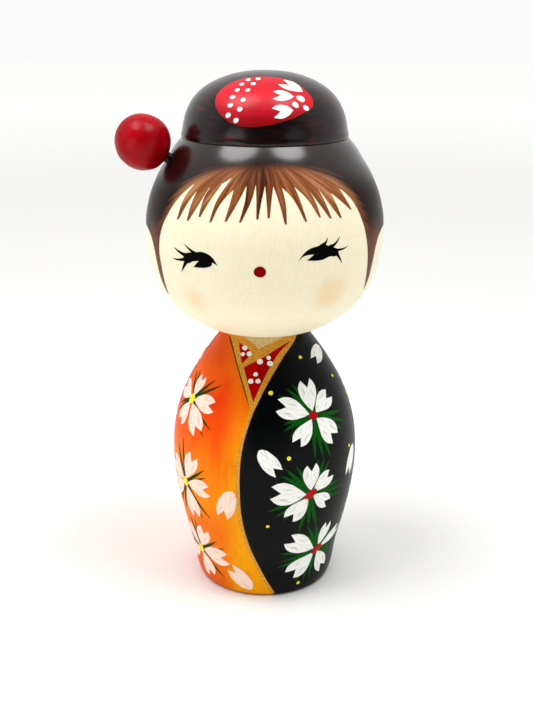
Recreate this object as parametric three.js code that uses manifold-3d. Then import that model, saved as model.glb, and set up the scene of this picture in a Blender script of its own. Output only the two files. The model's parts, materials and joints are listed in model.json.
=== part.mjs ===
// A turned wooden kokeshi doll. A barrel-shaped body carries a round head that turns on a
// neck dowel, a topknot is pegged to the crown of the head, and a round hairpin is pushed
// into the side of the head. Millimetres, +Z up, the face looks along -Y, and the origin is
// the centre of the flat base.

import * as THREE from "three";
import { mergeVertices } from "three/addons/utils/BufferGeometryUtils.js";
import Module from "manifold-3d";

const wasm = await Module();
wasm.setup();

// Heights of the turned pieces above the base.
const SHOULDER_Z = 57.4;
const NECK_GAP = 0.15; // running gap between the shoulder and the head
const HEAD_FOOT_Z = SHOULDER_Z + NECK_GAP;
const CROWN_Z = 97;
const CROWN_GAP = 0.1; // glue line under the topknot
const TOPKNOT_FOOT_Z = CROWN_Z + CROWN_GAP;
const TOTAL_HEIGHT = 110;

// Radii of the turned pieces.
const BODY_RADIUS = 20;
const BASE_RADIUS = 14.9;
const BASE_ROUNDING = 1.2;
const SHOULDER_RADIUS = 8.4;
const HEAD_RADIUS = 24.5;
const HEAD_FOOT_RADIUS = 9.8;
const CROWN_RADIUS = 16.75;
const TOPKNOT_RADIUS = 16.9;
const TOPKNOT_POWER = 2.25; // how square the topknot's dome is: 2 would be an ellipse

// Dowels and the blind holes they sit in.
const NECK_DOWEL = { radius: 4, length: 26, bottomZ: 44.2 };
const TOPKNOT_PEG = { radius: 2.5, length: 14.6, bottomZ: 89.4 };
const DOWEL_CHAMFER = 0.6;
const RUNNING_GAP = 0.1; // between a dowel's side and its hole
const END_GAP = 0.6; // between a dowel's end and the bottom of its hole

// The hairpin: a ball on a thin stick, square to the head's surface at the side.
const BALL_RADIUS = 5.6;
const BALL_GAP = 0.4; // between the ball and the head
const STICK_RADIUS = 1;
const STICK_IN_BALL = 4;
const STICK_IN_HEAD = 10;
const HAIRPIN_AZIMUTH = THREE.MathUtils.degToRad(-79); // from -Y towards +X
const HAIRPIN_RISE = THREE.MathUtils.degToRad(33.4); // above level
const HAIRPIN_SEAT = { radius: 19.7, z: 93.15 }; // where its axis leaves the head

const TURNED_SIDES = 48;
const BALL_SIDES = 32;
const DOWEL_SIDES = 24;

const woods = {
  kimono: new THREE.MeshStandardMaterial({ color: 0xe8761a, roughness: 0.4, metalness: 0 }),
  face: new THREE.MeshStandardMaterial({ color: 0xf3ecd2, roughness: 0.45, metalness: 0 }),
  hair: new THREE.MeshStandardMaterial({ color: 0x1d1214, roughness: 0.3, metalness: 0 }),
  redBall: new THREE.MeshStandardMaterial({ color: 0xa50d18, roughness: 0.4, metalness: 0 }),
  bare: new THREE.MeshStandardMaterial({ color: 0xd2b483, roughness: 0.7, metalness: 0 }),
};

const point = (radius, z) => new THREE.Vector2(radius, z);

// A smooth line through the given points.
function smooth(points, steps) {
  return new THREE.SplineCurve(points).getPoints(steps);
}

// A quarter of a circle from straight down to straight out.
function bottomRounding(radius, rounding, steps) {
  const arc = [];
  for (let i = 0; i < steps; i++) {
    const a = (i / steps) * (Math.PI / 2);
    arc.push(point(radius - rounding + rounding * Math.sin(a), rounding * (1 - Math.cos(a))));
  }
  return arc;
}

// A solid of revolution about Z from a profile that starts and ends on the axis.
function turned(profile, sides) {
  return new THREE.LatheGeometry(profile, sides).rotateX(Math.PI / 2);
}

// The points that make a blind hole in a profile, from its mouth to its bottom.
function holeDown(radius, mouthZ, bottomZ) {
  return [point(radius, mouthZ), point(radius, bottomZ), point(0, bottomZ)];
}

function holeUp(radius, mouthZ, topZ) {
  return [point(0, topZ), point(radius, topZ), point(radius, mouthZ)];
}

function toSolid(geometry) {
  const bare = geometry.clone();
  bare.deleteAttribute("normal");
  bare.deleteAttribute("uv");
  const merged = mergeVertices(bare, 1e-4);
  return new wasm.Manifold(
    new wasm.Mesh({
      numProp: 3,
      vertProperties: merged.attributes.position.array,
      triVerts: new Uint32Array(merged.index.array),
    }),
  );
}

function toGeometry(solid) {
  const mesh = solid.getMesh();
  const geometry = new THREE.BufferGeometry();
  geometry.setAttribute("position", new THREE.BufferAttribute(mesh.vertProperties, 3));
  geometry.setIndex(new THREE.BufferAttribute(mesh.triVerts, 1));
  geometry.computeVertexNormals();
  return geometry;
}

function piece(name, geometry, material) {
  const mesh = new THREE.Mesh(geometry, material);
  mesh.name = name;
  return mesh;
}

// Body: a barrel, widest a little above its middle, with the neck hole in its top.
function bodyGeometry() {
  const side = smooth(
    [
      point(BASE_RADIUS, BASE_ROUNDING),
      point(16.2, 8),
      point(18, 15.3),
      point(19.45, 22.6),
      point(BODY_RADIUS, 29.6),
      point(19.4, 36.2),
      point(17.4, 43),
      point(13.8, 49.8),
      point(SHOULDER_RADIUS + 0.6, SHOULDER_Z - 0.8),
    ],
    22,
  );
  const holeRadius = NECK_DOWEL.radius + RUNNING_GAP;
  return turned(
    [
      point(0, 0),
      ...bottomRounding(BASE_RADIUS, BASE_ROUNDING, 3),
      ...side,
      point(SHOULDER_RADIUS, SHOULDER_Z),
      ...holeDown(holeRadius, SHOULDER_Z, NECK_DOWEL.bottomZ - END_GAP),
    ],
    TURNED_SIDES,
  );
}

// Head: a slightly flattened ball with a flat crown, holed below for the neck dowel, above
// for the topknot's peg and at the side for the hairpin.
function headGeometry() {
  const side = smooth(
    [
      point(HEAD_FOOT_RADIUS, HEAD_FOOT_Z),
      point(12.4, 58.3),
      point(15.9, 60.35),
      point(19.8, 63.75),
      point(22.5, 68.2),
      point(24, 73.4),
      point(HEAD_RADIUS, 78.8),
      point(24, 83.5),
      point(22.2, 88.75),
      point(19.7, 93.15),
      point(CROWN_RADIUS, CROWN_Z),
    ],
    26,
  );
  const neckTopZ = NECK_DOWEL.bottomZ + NECK_DOWEL.length + END_GAP;
  const ball = turned(
    [
      ...holeUp(NECK_DOWEL.radius + RUNNING_GAP, HEAD_FOOT_Z, neckTopZ),
      ...side,
      ...holeDown(TOPKNOT_PEG.radius + RUNNING_GAP, CROWN_Z, TOPKNOT_PEG.bottomZ - END_GAP),
    ],
    TURNED_SIDES,
  );
  const depth = STICK_IN_HEAD + END_GAP;
  const reach = depth + 3; // the drill starts outside the head
  const drill = new THREE.CylinderGeometry(
    STICK_RADIUS + RUNNING_GAP,
    STICK_RADIUS + RUNNING_GAP,
    reach,
    DOWEL_SIDES,
  );
  drill.rotateX(Math.PI / 2);
  drill.translate(0, 0, reach / 2 - depth);
  hairpin.updateMatrixWorld(true);
  drill.applyMatrix4(hairpin.matrixWorld);
  return toGeometry(toSolid(ball).subtract(toSolid(drill)));
}

// Topknot: a flat-footed dome with a peg hole in its underside.
function topknotGeometry() {
  const rise = TOTAL_HEIGHT - TOPKNOT_FOOT_Z;
  const steps = 12;
  const dome = [];
  for (let i = 0; i < steps; i++) {
    const a = (i / steps) * (Math.PI / 2);
    dome.push(
      point(
        TOPKNOT_RADIUS * Math.cos(a) ** (2 / TOPKNOT_POWER),
        TOPKNOT_FOOT_Z + rise * Math.sin(a) ** (2 / TOPKNOT_POWER),
      ),
    );
  }
  const holeTopZ = TOPKNOT_PEG.bottomZ + TOPKNOT_PEG.length + END_GAP;
  return turned(
    [
      ...holeUp(TOPKNOT_PEG.radius + RUNNING_GAP, TOPKNOT_FOOT_Z, holeTopZ),
      ...dome,
      point(0, TOTAL_HEIGHT),
    ],
    TURNED_SIDES,
  );
}

// A round dowel with both ends chamfered, standing on its own origin.
function dowelGeometry(radius, length, chamfer) {
  return turned(
    [
      point(0, 0),
      point(radius - chamfer, 0),
      point(radius, chamfer),
      point(radius, length - chamfer),
      point(radius - chamfer, length),
      point(0, length),
    ],
    DOWEL_SIDES,
  );
}

// The hairpin's ball, centred on the hairpin's axis, with the stick's hole in its underside.
function ballGeometry() {
  const holeRadius = STICK_RADIUS + RUNNING_GAP;
  const centreZ = BALL_RADIUS + BALL_GAP;
  const mouth = Math.asin(holeRadius / BALL_RADIUS);
  const steps = 16;
  const outline = [];
  for (let i = 0; i < steps; i++) {
    const a = mouth + (i / steps) * (Math.PI - mouth);
    outline.push(point(BALL_RADIUS * Math.sin(a), centreZ - BALL_RADIUS * Math.cos(a)));
  }
  const holeTopZ = BALL_GAP + STICK_IN_BALL + END_GAP;
  return turned(
    [
      point(0, holeTopZ),
      point(holeRadius, holeTopZ),
      ...outline,
      point(0, centreZ + BALL_RADIUS),
    ],
    BALL_SIDES,
  );
}

// The hairpin's own frame: its origin on the head's surface and +Z out along the stick.
const hairpin = new THREE.Group();
hairpin.position.set(
  HAIRPIN_SEAT.radius * Math.sin(HAIRPIN_AZIMUTH),
  -HAIRPIN_SEAT.radius * Math.cos(HAIRPIN_AZIMUTH),
  HAIRPIN_SEAT.z,
);
hairpin.quaternion.setFromUnitVectors(
  new THREE.Vector3(0, 0, 1),
  new THREE.Vector3(
    Math.cos(HAIRPIN_RISE) * Math.sin(HAIRPIN_AZIMUTH),
    -Math.cos(HAIRPIN_RISE) * Math.cos(HAIRPIN_AZIMUTH),
    Math.sin(HAIRPIN_RISE),
  ),
);

const stick = piece(
  "hairpin_stick",
  dowelGeometry(STICK_RADIUS, STICK_IN_HEAD + BALL_GAP + STICK_IN_BALL, 0.3),
  woods.bare,
);
stick.position.z = -STICK_IN_HEAD;
hairpin.add(stick, piece("hairpin_ball", ballGeometry(), woods.redBall));

const neckDowel = piece(
  "neck_dowel",
  dowelGeometry(NECK_DOWEL.radius, NECK_DOWEL.length, DOWEL_CHAMFER),
  woods.bare,
);
neckDowel.position.z = NECK_DOWEL.bottomZ;

const topknotPeg = piece(
  "topknot_peg",
  dowelGeometry(TOPKNOT_PEG.radius, TOPKNOT_PEG.length, DOWEL_CHAMFER),
  woods.bare,
);
topknotPeg.position.z = TOPKNOT_PEG.bottomZ;

const head = new THREE.Group();
head.add(
  piece("head_ball", headGeometry(), woods.face),
  piece("topknot", topknotGeometry(), woods.hair),
  neckDowel,
  topknotPeg,
  hairpin,
);

const doll = new THREE.Group();
doll.add(piece("body_barrel", bodyGeometry(), woods.kimono), head);

export default doll;
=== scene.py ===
import json
import math
import random

import bpy
from mathutils import Matrix, Vector


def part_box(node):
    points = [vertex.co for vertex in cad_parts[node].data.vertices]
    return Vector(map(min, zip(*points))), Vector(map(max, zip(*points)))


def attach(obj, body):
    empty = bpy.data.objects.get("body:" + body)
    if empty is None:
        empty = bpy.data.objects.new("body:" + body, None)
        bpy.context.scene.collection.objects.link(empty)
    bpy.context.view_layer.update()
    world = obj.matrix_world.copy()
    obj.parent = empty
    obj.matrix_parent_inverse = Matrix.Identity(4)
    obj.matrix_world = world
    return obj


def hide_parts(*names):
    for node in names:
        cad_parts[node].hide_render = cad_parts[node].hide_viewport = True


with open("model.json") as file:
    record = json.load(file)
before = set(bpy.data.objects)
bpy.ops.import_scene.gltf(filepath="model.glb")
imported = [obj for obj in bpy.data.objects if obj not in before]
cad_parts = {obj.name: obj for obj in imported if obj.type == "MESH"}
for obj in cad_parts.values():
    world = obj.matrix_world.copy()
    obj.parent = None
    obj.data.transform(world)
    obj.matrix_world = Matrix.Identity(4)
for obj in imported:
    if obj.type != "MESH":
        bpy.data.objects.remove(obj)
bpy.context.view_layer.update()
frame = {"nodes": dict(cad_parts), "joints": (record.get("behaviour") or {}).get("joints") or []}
mm = 0.001
brush = random.Random(11)  # the small unevenness of hand painting


studio = {
    "lens": 54.7,
    "cameraAt": (0.0004, -0.2215, 0.1238),
    "cameraDown": 18.36,
    "cameraRoll": 0.12,
    "floorSize": 4.0,
    "floorColour": (0.85, 0.845, 0.825, 1),
    "floorGlow": (0.0, 0.38),  # under the doll and far from it: keeps distant paper white
    "roomBright": 0.88,  # walls and ceiling of the light tent
    "roomDim": 0.1,  # its open front, behind the camera
    "roomFront": (-0.75, -0.1),  # where it dims, as shares of the way forward
    "backdrop": 0.97,
    # two soft lamps high up, and two wide weak ones low in front
    "lamps": [
        {"at": (-0.17, -0.07, 0.53), "size": 0.26, "watts": 1.4},
        {"at": (0.155, -0.085, 0.54), "size": 0.22, "watts": 1.1},
        {"at": (-0.36, -0.42, 0.13), "size": 0.3, "watts": 0.38},
        {"at": (0.37, -0.42, 0.13), "size": 0.3, "watts": 0.15},
    ],
    "lampsAimAt": (0, 0, 0.07),
}


def setStudio():
    bpy.ops.object.camera_add(location=studio["cameraAt"])
    camera = bpy.context.object
    camera.rotation_euler = (math.radians(90 - studio["cameraDown"]), 0, 0)
    camera.rotation_euler.rotate_axis("Z", math.radians(studio["cameraRoll"]))
    camera.data.lens = studio["lens"]
    camera.data.sensor_width = 36
    camera.data.clip_start = 0.01
    bpy.context.scene.camera = camera

    bpy.ops.mesh.primitive_plane_add(size=studio["floorSize"])
    floor = bpy.context.object
    floor.name = "floor"
    surface, shader = newFinish("floorPaper", roughness=0.8, gloss=0.2)
    shader.inputs["Base Color"].default_value = studio["floorColour"]
    shader.inputs["Emission Color"].default_value = (1, 1, 1, 1)
    away = distanceTo(surface, (0, 0, 0))
    glow = spread(surface, away, 0.08, 1.1, *studio["floorGlow"])
    join(surface, glow, shader.inputs["Emission Strength"])
    floor.data.materials.append(surface)

    for each in studio["lamps"]:
        bpy.ops.object.light_add(type="AREA", location=each["at"])
        lamp = bpy.context.object
        aim = Vector(studio["lampsAimAt"]) - Vector(each["at"])
        lamp.rotation_euler = aim.to_track_quat("-Z", "Y").to_euler()
        lamp.data.shape = "DISK"
        lamp.data.size = each["size"]
        lamp.data.energy = each["watts"]

    world = bpy.data.worlds.new("lightTent")
    world.use_nodes = True
    bpy.context.scene.world = world
    nodes, links = world.node_tree.nodes, world.node_tree.links
    background = nodes["Background"]
    where = nodes.new("ShaderNodeTexCoord")
    split = nodes.new("ShaderNodeSeparateXYZ")
    links.new(where.outputs["Generated"], split.inputs[0])
    front = nodes.new("ShaderNodeMapRange")  # dims the room towards its open front
    front.interpolation_type = "SMOOTHSTEP"
    links.new(split.outputs["Y"], front.inputs["Value"])
    front.inputs["From Min"].default_value = studio["roomFront"][0]
    front.inputs["From Max"].default_value = studio["roomFront"][1]
    front.inputs["To Min"].default_value = studio["roomDim"]
    front.inputs["To Max"].default_value = studio["roomBright"]
    seen = nodes.new("ShaderNodeLightPath")
    choose = nodes.new("ShaderNodeMix")
    links.new(seen.outputs["Is Camera Ray"], choose.inputs["Factor"])
    links.new(front.outputs["Result"], choose.inputs["A"])
    choose.inputs["B"].default_value = studio["backdrop"]
    links.new(choose.outputs["Result"], background.inputs["Strength"])
    background.inputs["Color"].default_value = (1, 1, 1, 1)
    bpy.context.scene.view_settings.view_transform = "Standard"


def tint(red, green, blue):
    # a paint colour from 0 to 255 in each part, as the shader wants it
    def light(value):
        value /= 255
        return value / 12.92 if value < 0.04045 else ((value + 0.055) / 1.055) ** 2.4

    return (light(red), light(green), light(blue), 1)


def newFinish(name, roughness, gloss=0.5, coat=0, coatRoughness=0.05):
    surface = bpy.data.materials.new(name)
    surface.use_nodes = True
    shader = surface.node_tree.nodes["Principled BSDF"]
    shader.inputs["Roughness"].default_value = roughness
    shader.inputs["Specular IOR Level"].default_value = gloss
    shader.inputs["Coat Weight"].default_value = coat
    shader.inputs["Coat Roughness"].default_value = coatRoughness
    return surface, shader


def addNode(surface, kind, **values):
    node = surface.node_tree.nodes.new("ShaderNode" + kind)
    for key, value in values.items():
        setattr(node, key, value)
    return node


def join(surface, source, target):
    surface.node_tree.links.new(source, target)


def calculate(surface, operation, first, second=None, clamp=False):
    # one step of arithmetic on sockets or plain numbers
    node = addNode(surface, "Math", operation=operation, use_clamp=clamp)
    for socket, value in zip(node.inputs, (first, second)):
        if value is None:
            continue
        if isinstance(value, (int, float)):
            socket.default_value = value
        else:
            join(surface, value, socket)
    return node.outputs[0]


def plus(surface, first, second):
    return calculate(surface, "ADD", first, second)


def minus(surface, first, second):
    return calculate(surface, "SUBTRACT", first, second)


def times(surface, first, second):
    return calculate(surface, "MULTIPLY", first, second)


def over(surface, first, second):
    return calculate(surface, "DIVIDE", first, second)


def spread(surface, value, low, high, toLow=0.0, toHigh=1.0):
    # a smooth step: toLow at low, toHigh at high
    node = addNode(surface, "MapRange", interpolation_type="SMOOTHSTEP")
    join(surface, value, node.inputs["Value"])
    node.inputs["From Min"].default_value = low
    node.inputs["From Max"].default_value = high
    node.inputs["To Min"].default_value = toLow
    node.inputs["To Max"].default_value = toHigh
    return node.outputs["Result"]


def blendColour(surface, factor, first, second):
    node = addNode(surface, "Mix", data_type="RGBA")
    join(surface, factor, node.inputs["Factor"])
    for socket, value in ((node.inputs[6], first), (node.inputs[7], second)):
        if isinstance(value, tuple):
            socket.default_value = value
        else:
            join(surface, value, socket)
    return node.outputs[2]


def grain(surface, stretch, detail=4.0, roughness=0.6, source="Object", distort=0.0):
    # fine noise, stretched by a different amount along each axis
    where = addNode(surface, "TexCoord")
    scale = addNode(surface, "Mapping")
    scale.inputs["Scale"].default_value = stretch
    join(surface, where.outputs[source], scale.inputs["Vector"])
    noise = addNode(surface, "TexNoise")
    noise.inputs["Scale"].default_value = 1
    noise.inputs["Detail"].default_value = detail
    noise.inputs["Roughness"].default_value = roughness
    noise.inputs["Distortion"].default_value = distort
    join(surface, scale.outputs[0], noise.inputs["Vector"])
    return noise.outputs["Fac"]


def coordinates(surface):
    where = addNode(surface, "TexCoord")
    split = addNode(surface, "SeparateXYZ")
    join(surface, where.outputs["Object"], split.inputs[0])
    return split.outputs["X"], split.outputs["Y"], split.outputs["Z"]


def distanceTo(surface, middle):
    where = addNode(surface, "TexCoord")
    measure = addNode(surface, "VectorMath", operation="DISTANCE")
    join(surface, where.outputs["Object"], measure.inputs[0])
    measure.inputs[1].default_value = middle
    return measure.outputs["Value"]


def addBump(surface, shader, height, depth, strength=0.3):
    bump = addNode(surface, "Bump")
    bump.inputs["Distance"].default_value = depth
    bump.inputs["Strength"].default_value = strength
    join(surface, height, bump.inputs["Height"])
    join(surface, bump.outputs[0], shader.inputs["Normal"])


def faceWood():
    surface, shader = newFinish("faceWood", roughness=0.45, gloss=0.25, coat=0.1, coatRoughness=0.25)
    long = grain(surface, (2300, 2300, 420), detail=5)  # fibres up the turning axis
    pores = grain(surface, (3600, 3600, 1700), detail=2)
    rings = grain(surface, (60, 60, 620), detail=3)
    wood = blendColour(surface, spread(surface, long, 0.35, 0.7), tint(253, 246, 216), tint(249, 240, 206))
    wood = blendColour(surface, spread(surface, pores, 0.56, 0.75, 0, 0.35), wood, tint(236, 222, 182))
    wood = blendColour(surface, spread(surface, rings, 0.45, 0.8, 0, 0.2), wood, tint(240, 226, 184))
    for blush in faceColours["blush"]:
        away = distanceTo(surface, blush["at"])
        glow = spread(surface, away, blush["inner"], blush["outer"], blush["depth"], 0)
        speckle = times(surface, glow, spread(surface, pores, 0.3, 0.7, 0.75, 1.1))
        wood = blendColour(surface, speckle, wood, faceColours["blushTint"])
    join(surface, wood, shader.inputs["Base Color"])
    addBump(surface, shader, long, 0.00004, 0.25)
    return surface


def bareWood(name, pale, dark):
    surface, shader = newFinish(name, roughness=0.6, gloss=0.25)
    long = grain(surface, (1800, 1800, 160), detail=5)
    wood = blendColour(surface, spread(surface, long, 0.3, 0.7), pale, dark)
    join(surface, wood, shader.inputs["Base Color"])
    addBump(surface, shader, long, 0.00006, 0.4)
    return surface


orange = {
    # the colour at each height, in metres
    "bands": [
        (0.002, (232, 98, 0)),
        (0.01, (250, 126, 0)),
        (0.017, (249, 120, 0)),
        (0.024, (255, 148, 0)),
        (0.031, (254, 128, 0)),
        (0.038, (249, 82, 0)),
        (0.044, (238, 58, 0)),
        (0.05, (244, 92, 2)),
        (0.056, (228, 74, 4)),
    ],
    "wander": 0.014,  # how far the bands stray up and down
    "besideGold": tint(255, 176, 0),
    "fibre": tint(240, 84, 0),
    "palePatch": tint(255, 150, 6),
    "deepPatch": tint(226, 60, 0),
}


def orangePaint():
    surface, shader = newFinish("orangePaint", roughness=0.42, gloss=0.05, coat=0.03, coatRoughness=0.15)
    x, _, z = coordinates(surface)
    patches = grain(surface, (90, 90, 60), detail=3, distort=0.4)
    fibres = grain(surface, (1500, 1500, 110), detail=4)
    stray = times(surface, minus(surface, patches, 0.5), orange["wander"])
    paint = heightRamp(surface, plus(surface, z, stray), orange["bands"])
    # yellower beside the gold lines, above all low down
    near = spread(surface, calculate(surface, "ABSOLUTE", x), 0.0095, 0.0045)
    low = spread(surface, z, 0.048, 0.03, 0.25, 0.85)
    paint = blendColour(surface, times(surface, near, low), paint, orange["besideGold"])
    paint = blendColour(surface, spread(surface, fibres, 0.48, 0.8, 0, 0.4), paint, orange["fibre"])
    paint = blendColour(surface, spread(surface, patches, 0.56, 0.75, 0, 0.4), paint, orange["palePatch"])
    paint = blendColour(surface, spread(surface, patches, 0.44, 0.28, 0, 0.35), paint, orange["deepPatch"])
    join(surface, paint, shader.inputs["Base Color"])
    addBump(surface, shader, fibres, 0.00003, 0.25)
    return surface


def heightRamp(surface, height, bands):
    top = bands[-1][0]
    ramp = addNode(surface, "ValToRGB")
    join(surface, over(surface, height, top), ramp.inputs["Fac"])
    stops = ramp.color_ramp.elements
    while len(stops) < len(bands):
        stops.new(0.5)
    for stop, (at, colour) in zip(stops, bands):
        stop.position = at / top
        stop.color = tint(*colour)
    return ramp.outputs["Color"]


def blackPaint():
    surface, shader = newFinish("blackPaint", roughness=0.34, gloss=0.07, coat=0.04, coatRoughness=0.2)
    cloud = grain(surface, (420, 420, 300), detail=5)
    paint = blendColour(surface, spread(surface, cloud, 0.3, 0.75), tint(0, 2, 1), tint(5, 8, 7))
    join(surface, paint, shader.inputs["Base Color"])
    addBump(surface, shader, cloud, 0.00003, 0.2)
    return surface


def lacquer():
    # black-brown stain under a hard gloss, the wood's fibres just showing
    surface, shader = newFinish("hairLacquer", roughness=0.26, gloss=0.2, coat=0.3, coatRoughness=0.14)
    fibres = grain(surface, (300, 300, 1500), detail=5, distort=0.3)
    cloud = grain(surface, (90, 90, 160), detail=3)
    amount = times(surface, spread(surface, fibres, 0.42, 0.8), spread(surface, cloud, 0.3, 0.7))
    stain = blendColour(surface, amount, tint(5, 1, 1), tint(84, 18, 14))
    join(surface, stain, shader.inputs["Base Color"])
    addBump(surface, shader, fibres, 0.00002, 0.15)
    return surface


hairColours = {
    "darkMiddle": (tint(44, 10, 2), tint(112, 48, 10)),  # at the parting, and beside it
    "darkSide": tint(136, 76, 34),
    "paleMiddle": (tint(120, 66, 36), tint(170, 108, 66)),
    "paleSide": tint(208, 148, 100),
    "sideburn": tint(116, 62, 40),
    "crown": tint(25, 8, 6),
}


def hairPaint():
    # black on the crown; in front, brown brush marks sweep from the parting down to the hairline
    surface, shader = newFinish("hairPaint", roughness=0.32, gloss=0.04, coatRoughness=0.19)
    x, y, z = coordinates(surface)
    partingX, partingZ = hair["parting"]
    drop = calculate(surface, "MAXIMUM", minus(surface, partingZ, z), 0.0004)
    sweep = over(surface, minus(surface, x, partingX), calculate(surface, "SQRT", drop))
    flow = addNode(surface, "CombineXYZ")
    join(surface, times(surface, sweep, 75), flow.inputs[0])
    join(surface, times(surface, drop, 90), flow.inputs[1])
    streaks = addNode(surface, "TexNoise")
    streaks.inputs["Scale"].default_value = 1
    streaks.inputs["Detail"].default_value = 4
    streaks.inputs["Roughness"].default_value = 0.6
    join(surface, flow.outputs[0], streaks.inputs["Vector"])
    mark = streaks.outputs["Fac"]
    speck = grain(surface, (2100, 2100, 1500), detail=3)

    # how far out from the face: the brown gives way to black at about 1
    edge = hair["brownEdge"]
    up = calculate(surface, "MAXIMUM", minus(surface, z, edge["z"]), 0)
    aside = over(surface, calculate(surface, "ABSOLUTE", x), edge["halfWidth"])
    across = calculate(surface, "POWER", aside, edge["roundness"])
    along = calculate(surface, "POWER", over(surface, up, edge["rise"]), edge["roundness"])
    behind = spread(surface, y, -0.009, -0.003, 0, 2)  # only the front has a brown edge
    wavy = times(surface, minus(surface, mark, 0.5), 0.55)
    reach = plus(surface, plus(surface, plus(surface, across, along), behind), wavy)

    # darkest beside the parting, paler towards the temples
    off = calculate(surface, "ABSOLUTE", plus(surface, x, 0.0014))
    dark = blendColour(surface, spread(surface, off, 0, 0.005), *hairColours["darkMiddle"])
    dark = blendColour(surface, spread(surface, off, 0.005, 0.015), dark, hairColours["darkSide"])
    pale = blendColour(surface, spread(surface, off, 0, 0.006), *hairColours["paleMiddle"])
    pale = blendColour(surface, spread(surface, off, 0.006, 0.016), pale, hairColours["paleSide"])
    side = spread(surface, z, 0.0885, 0.083)  # the sideburns are darker again
    streaky = spread(surface, mark, 0.38, 0.66)
    amount = calculate(surface, "SUBTRACT", streaky, times(surface, side, 0.5), clamp=True)
    brown = blendColour(surface, amount, dark, pale)
    brown = blendColour(surface, side, brown, hairColours["sideburn"])
    brown = blendColour(surface, spread(surface, speck, 0.5, 0.78, 0, 0.4), brown, dark)

    # the sideburns are brown right across
    low = spread(surface, z, 0.0835, 0.078)
    sideburn = times(surface, low, spread(surface, y, -0.008, -0.01, 0, 0.75))
    black = times(surface, spread(surface, reach, 0.84, 1.04), minus(surface, 1, sideburn))
    paint = blendColour(surface, black, brown, hairColours["crown"])
    join(surface, paint, shader.inputs["Base Color"])
    # the crown shines more than the sides
    join(surface, spread(surface, z, 0.087, 0.0945, 0.1, 0.95), shader.inputs["Coat Weight"])
    addBump(surface, shader, mark, 0.00002, 0.2)
    return surface


def redPaint(name, colour, roughness=0.4, gloss=0.25, coat=0.15, lumps=0.0, paintedShade=None):
    surface, shader = newFinish(name, roughness=roughness, gloss=gloss, coat=coat, coatRoughness=0.2)
    cloud = grain(surface, (260, 260, 260), detail=5)
    dark = tuple(0.68 * part for part in colour[:3]) + (1,)
    paint = blendColour(surface, spread(surface, cloud, 0.3, 0.72), colour, dark)
    # painted shade: the red darkens towards the bottom, fully below the lower of the two heights
    if paintedShade:
        _, _, z = coordinates(surface)
        paint = blendColour(surface, spread(surface, z, *paintedShade, 1, 0), paint, tint(118, 0, 4))
    join(surface, paint, shader.inputs["Base Color"])
    addBump(surface, shader, cloud, 0.00003 + lumps, 0.35)
    return surface


def brushPaint(name, thick, thin, roughness=0.5, gloss=0.2, streakiness=0.6):
    # opaque where the brush was full, streaky and thin elsewhere; the streaks follow the stroke
    surface, shader = newFinish(name, roughness=roughness, gloss=gloss)
    streaks = grain(surface, (15, 2.2, 1), detail=4, source="UV")
    speck = grain(surface, (2400, 2400, 2400), detail=2)
    amount = times(surface, spread(surface, streaks, 0.48, 0.74), streakiness)
    paint = blendColour(surface, amount, thick, thin)
    paint = blendColour(surface, spread(surface, speck, 0.6, 0.8, 0, 0.4), paint, thin)
    join(surface, paint, shader.inputs["Base Color"])
    addBump(surface, shader, streaks, 0.00005, 0.4)
    return surface


def goldPaint():
    surface, shader = newFinish("goldPaint", roughness=0.45, gloss=0.3)
    shader.inputs["Metallic"].default_value = 0.2
    flakes = grain(surface, (3200, 3200, 3200), detail=3)
    amount = spread(surface, flakes, 0.35, 0.75)
    paint = blendColour(surface, amount, tint(230, 168, 50), tint(180, 112, 16))
    join(surface, paint, shader.inputs["Base Color"])
    addBump(surface, shader, flakes, 0.00005, 0.5)
    return surface


def alone(piece):
    bpy.ops.object.select_all(action="DESELECT")
    piece.select_set(True)
    bpy.context.view_layer.objects.active = piece


def finishWith(piece, kind, **settings):
    # adds a modifier and applies it
    alone(piece)
    bpy.ops.object.modifier_add(type=kind)
    modifier = piece.modifiers[-1]
    for key, value in settings.items():
        setattr(modifier, key, value)
    bpy.ops.object.modifier_apply(modifier=modifier.name)


def drawLine(name, spots, filled=False, fineness=6):
    # a line through the spots, or a filled shape through lists of spots;
    # a spot with a third number is a sharp corner
    bpy.ops.object.select_all(action="DESELECT")
    bpy.ops.curve.primitive_bezier_curve_add()
    line = bpy.context.object
    line.name = name
    outlines = spots if filled else [spots]
    line.data.splines.clear()
    for outline in outlines:
        spline = line.data.splines.new("BEZIER")
        spline.bezier_points.add(len(outline) - 1)
        for knot, spot in zip(spline.bezier_points, outline):
            knot.co = (spot[0], 0, spot[1]) if not filled else (spot[0], spot[1], 0)
        for knot, spot in zip(spline.bezier_points, outline):
            shape = "VECTOR" if len(spot) > 2 else "AUTO"
            knot.handle_left_type = knot.handle_right_type = shape
        spline.use_cyclic_u = filled
    line.data.resolution_u = fineness
    if filled:
        line.data.dimensions = "2D"
        line.data.fill_mode = "BOTH"
    bpy.ops.object.convert(target="MESH")
    return bpy.context.object


def turnPiece(name, outline, rings=10, steps=192):
    # a solid of revolution, spun from half its outline
    piece = drawLine(name, outline, fineness=rings)
    bpy.ops.object.mode_set(mode="EDIT")
    bpy.ops.mesh.select_all(action="SELECT")
    bpy.ops.mesh.spin(steps=steps, angle=2 * math.pi, center=(0, 0, 0), axis=(0, 0, 1))
    bpy.ops.mesh.select_all(action="SELECT")
    bpy.ops.mesh.remove_doubles(threshold=0.00001)
    bpy.ops.mesh.normals_make_consistent(inside=False)
    bpy.ops.object.mode_set(mode="OBJECT")
    bpy.ops.object.shade_smooth_by_angle(angle=math.radians(35))
    return piece


def smooth(piece, angle):
    alone(piece)
    bpy.ops.object.shade_smooth_by_angle(angle=math.radians(angle))


def faceOut(piece):
    alone(piece)
    bpy.ops.object.mode_set(mode="EDIT")
    bpy.ops.mesh.select_all(action="SELECT")
    bpy.ops.mesh.normals_make_consistent(inside=False)
    bpy.ops.object.mode_set(mode="OBJECT")


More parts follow.
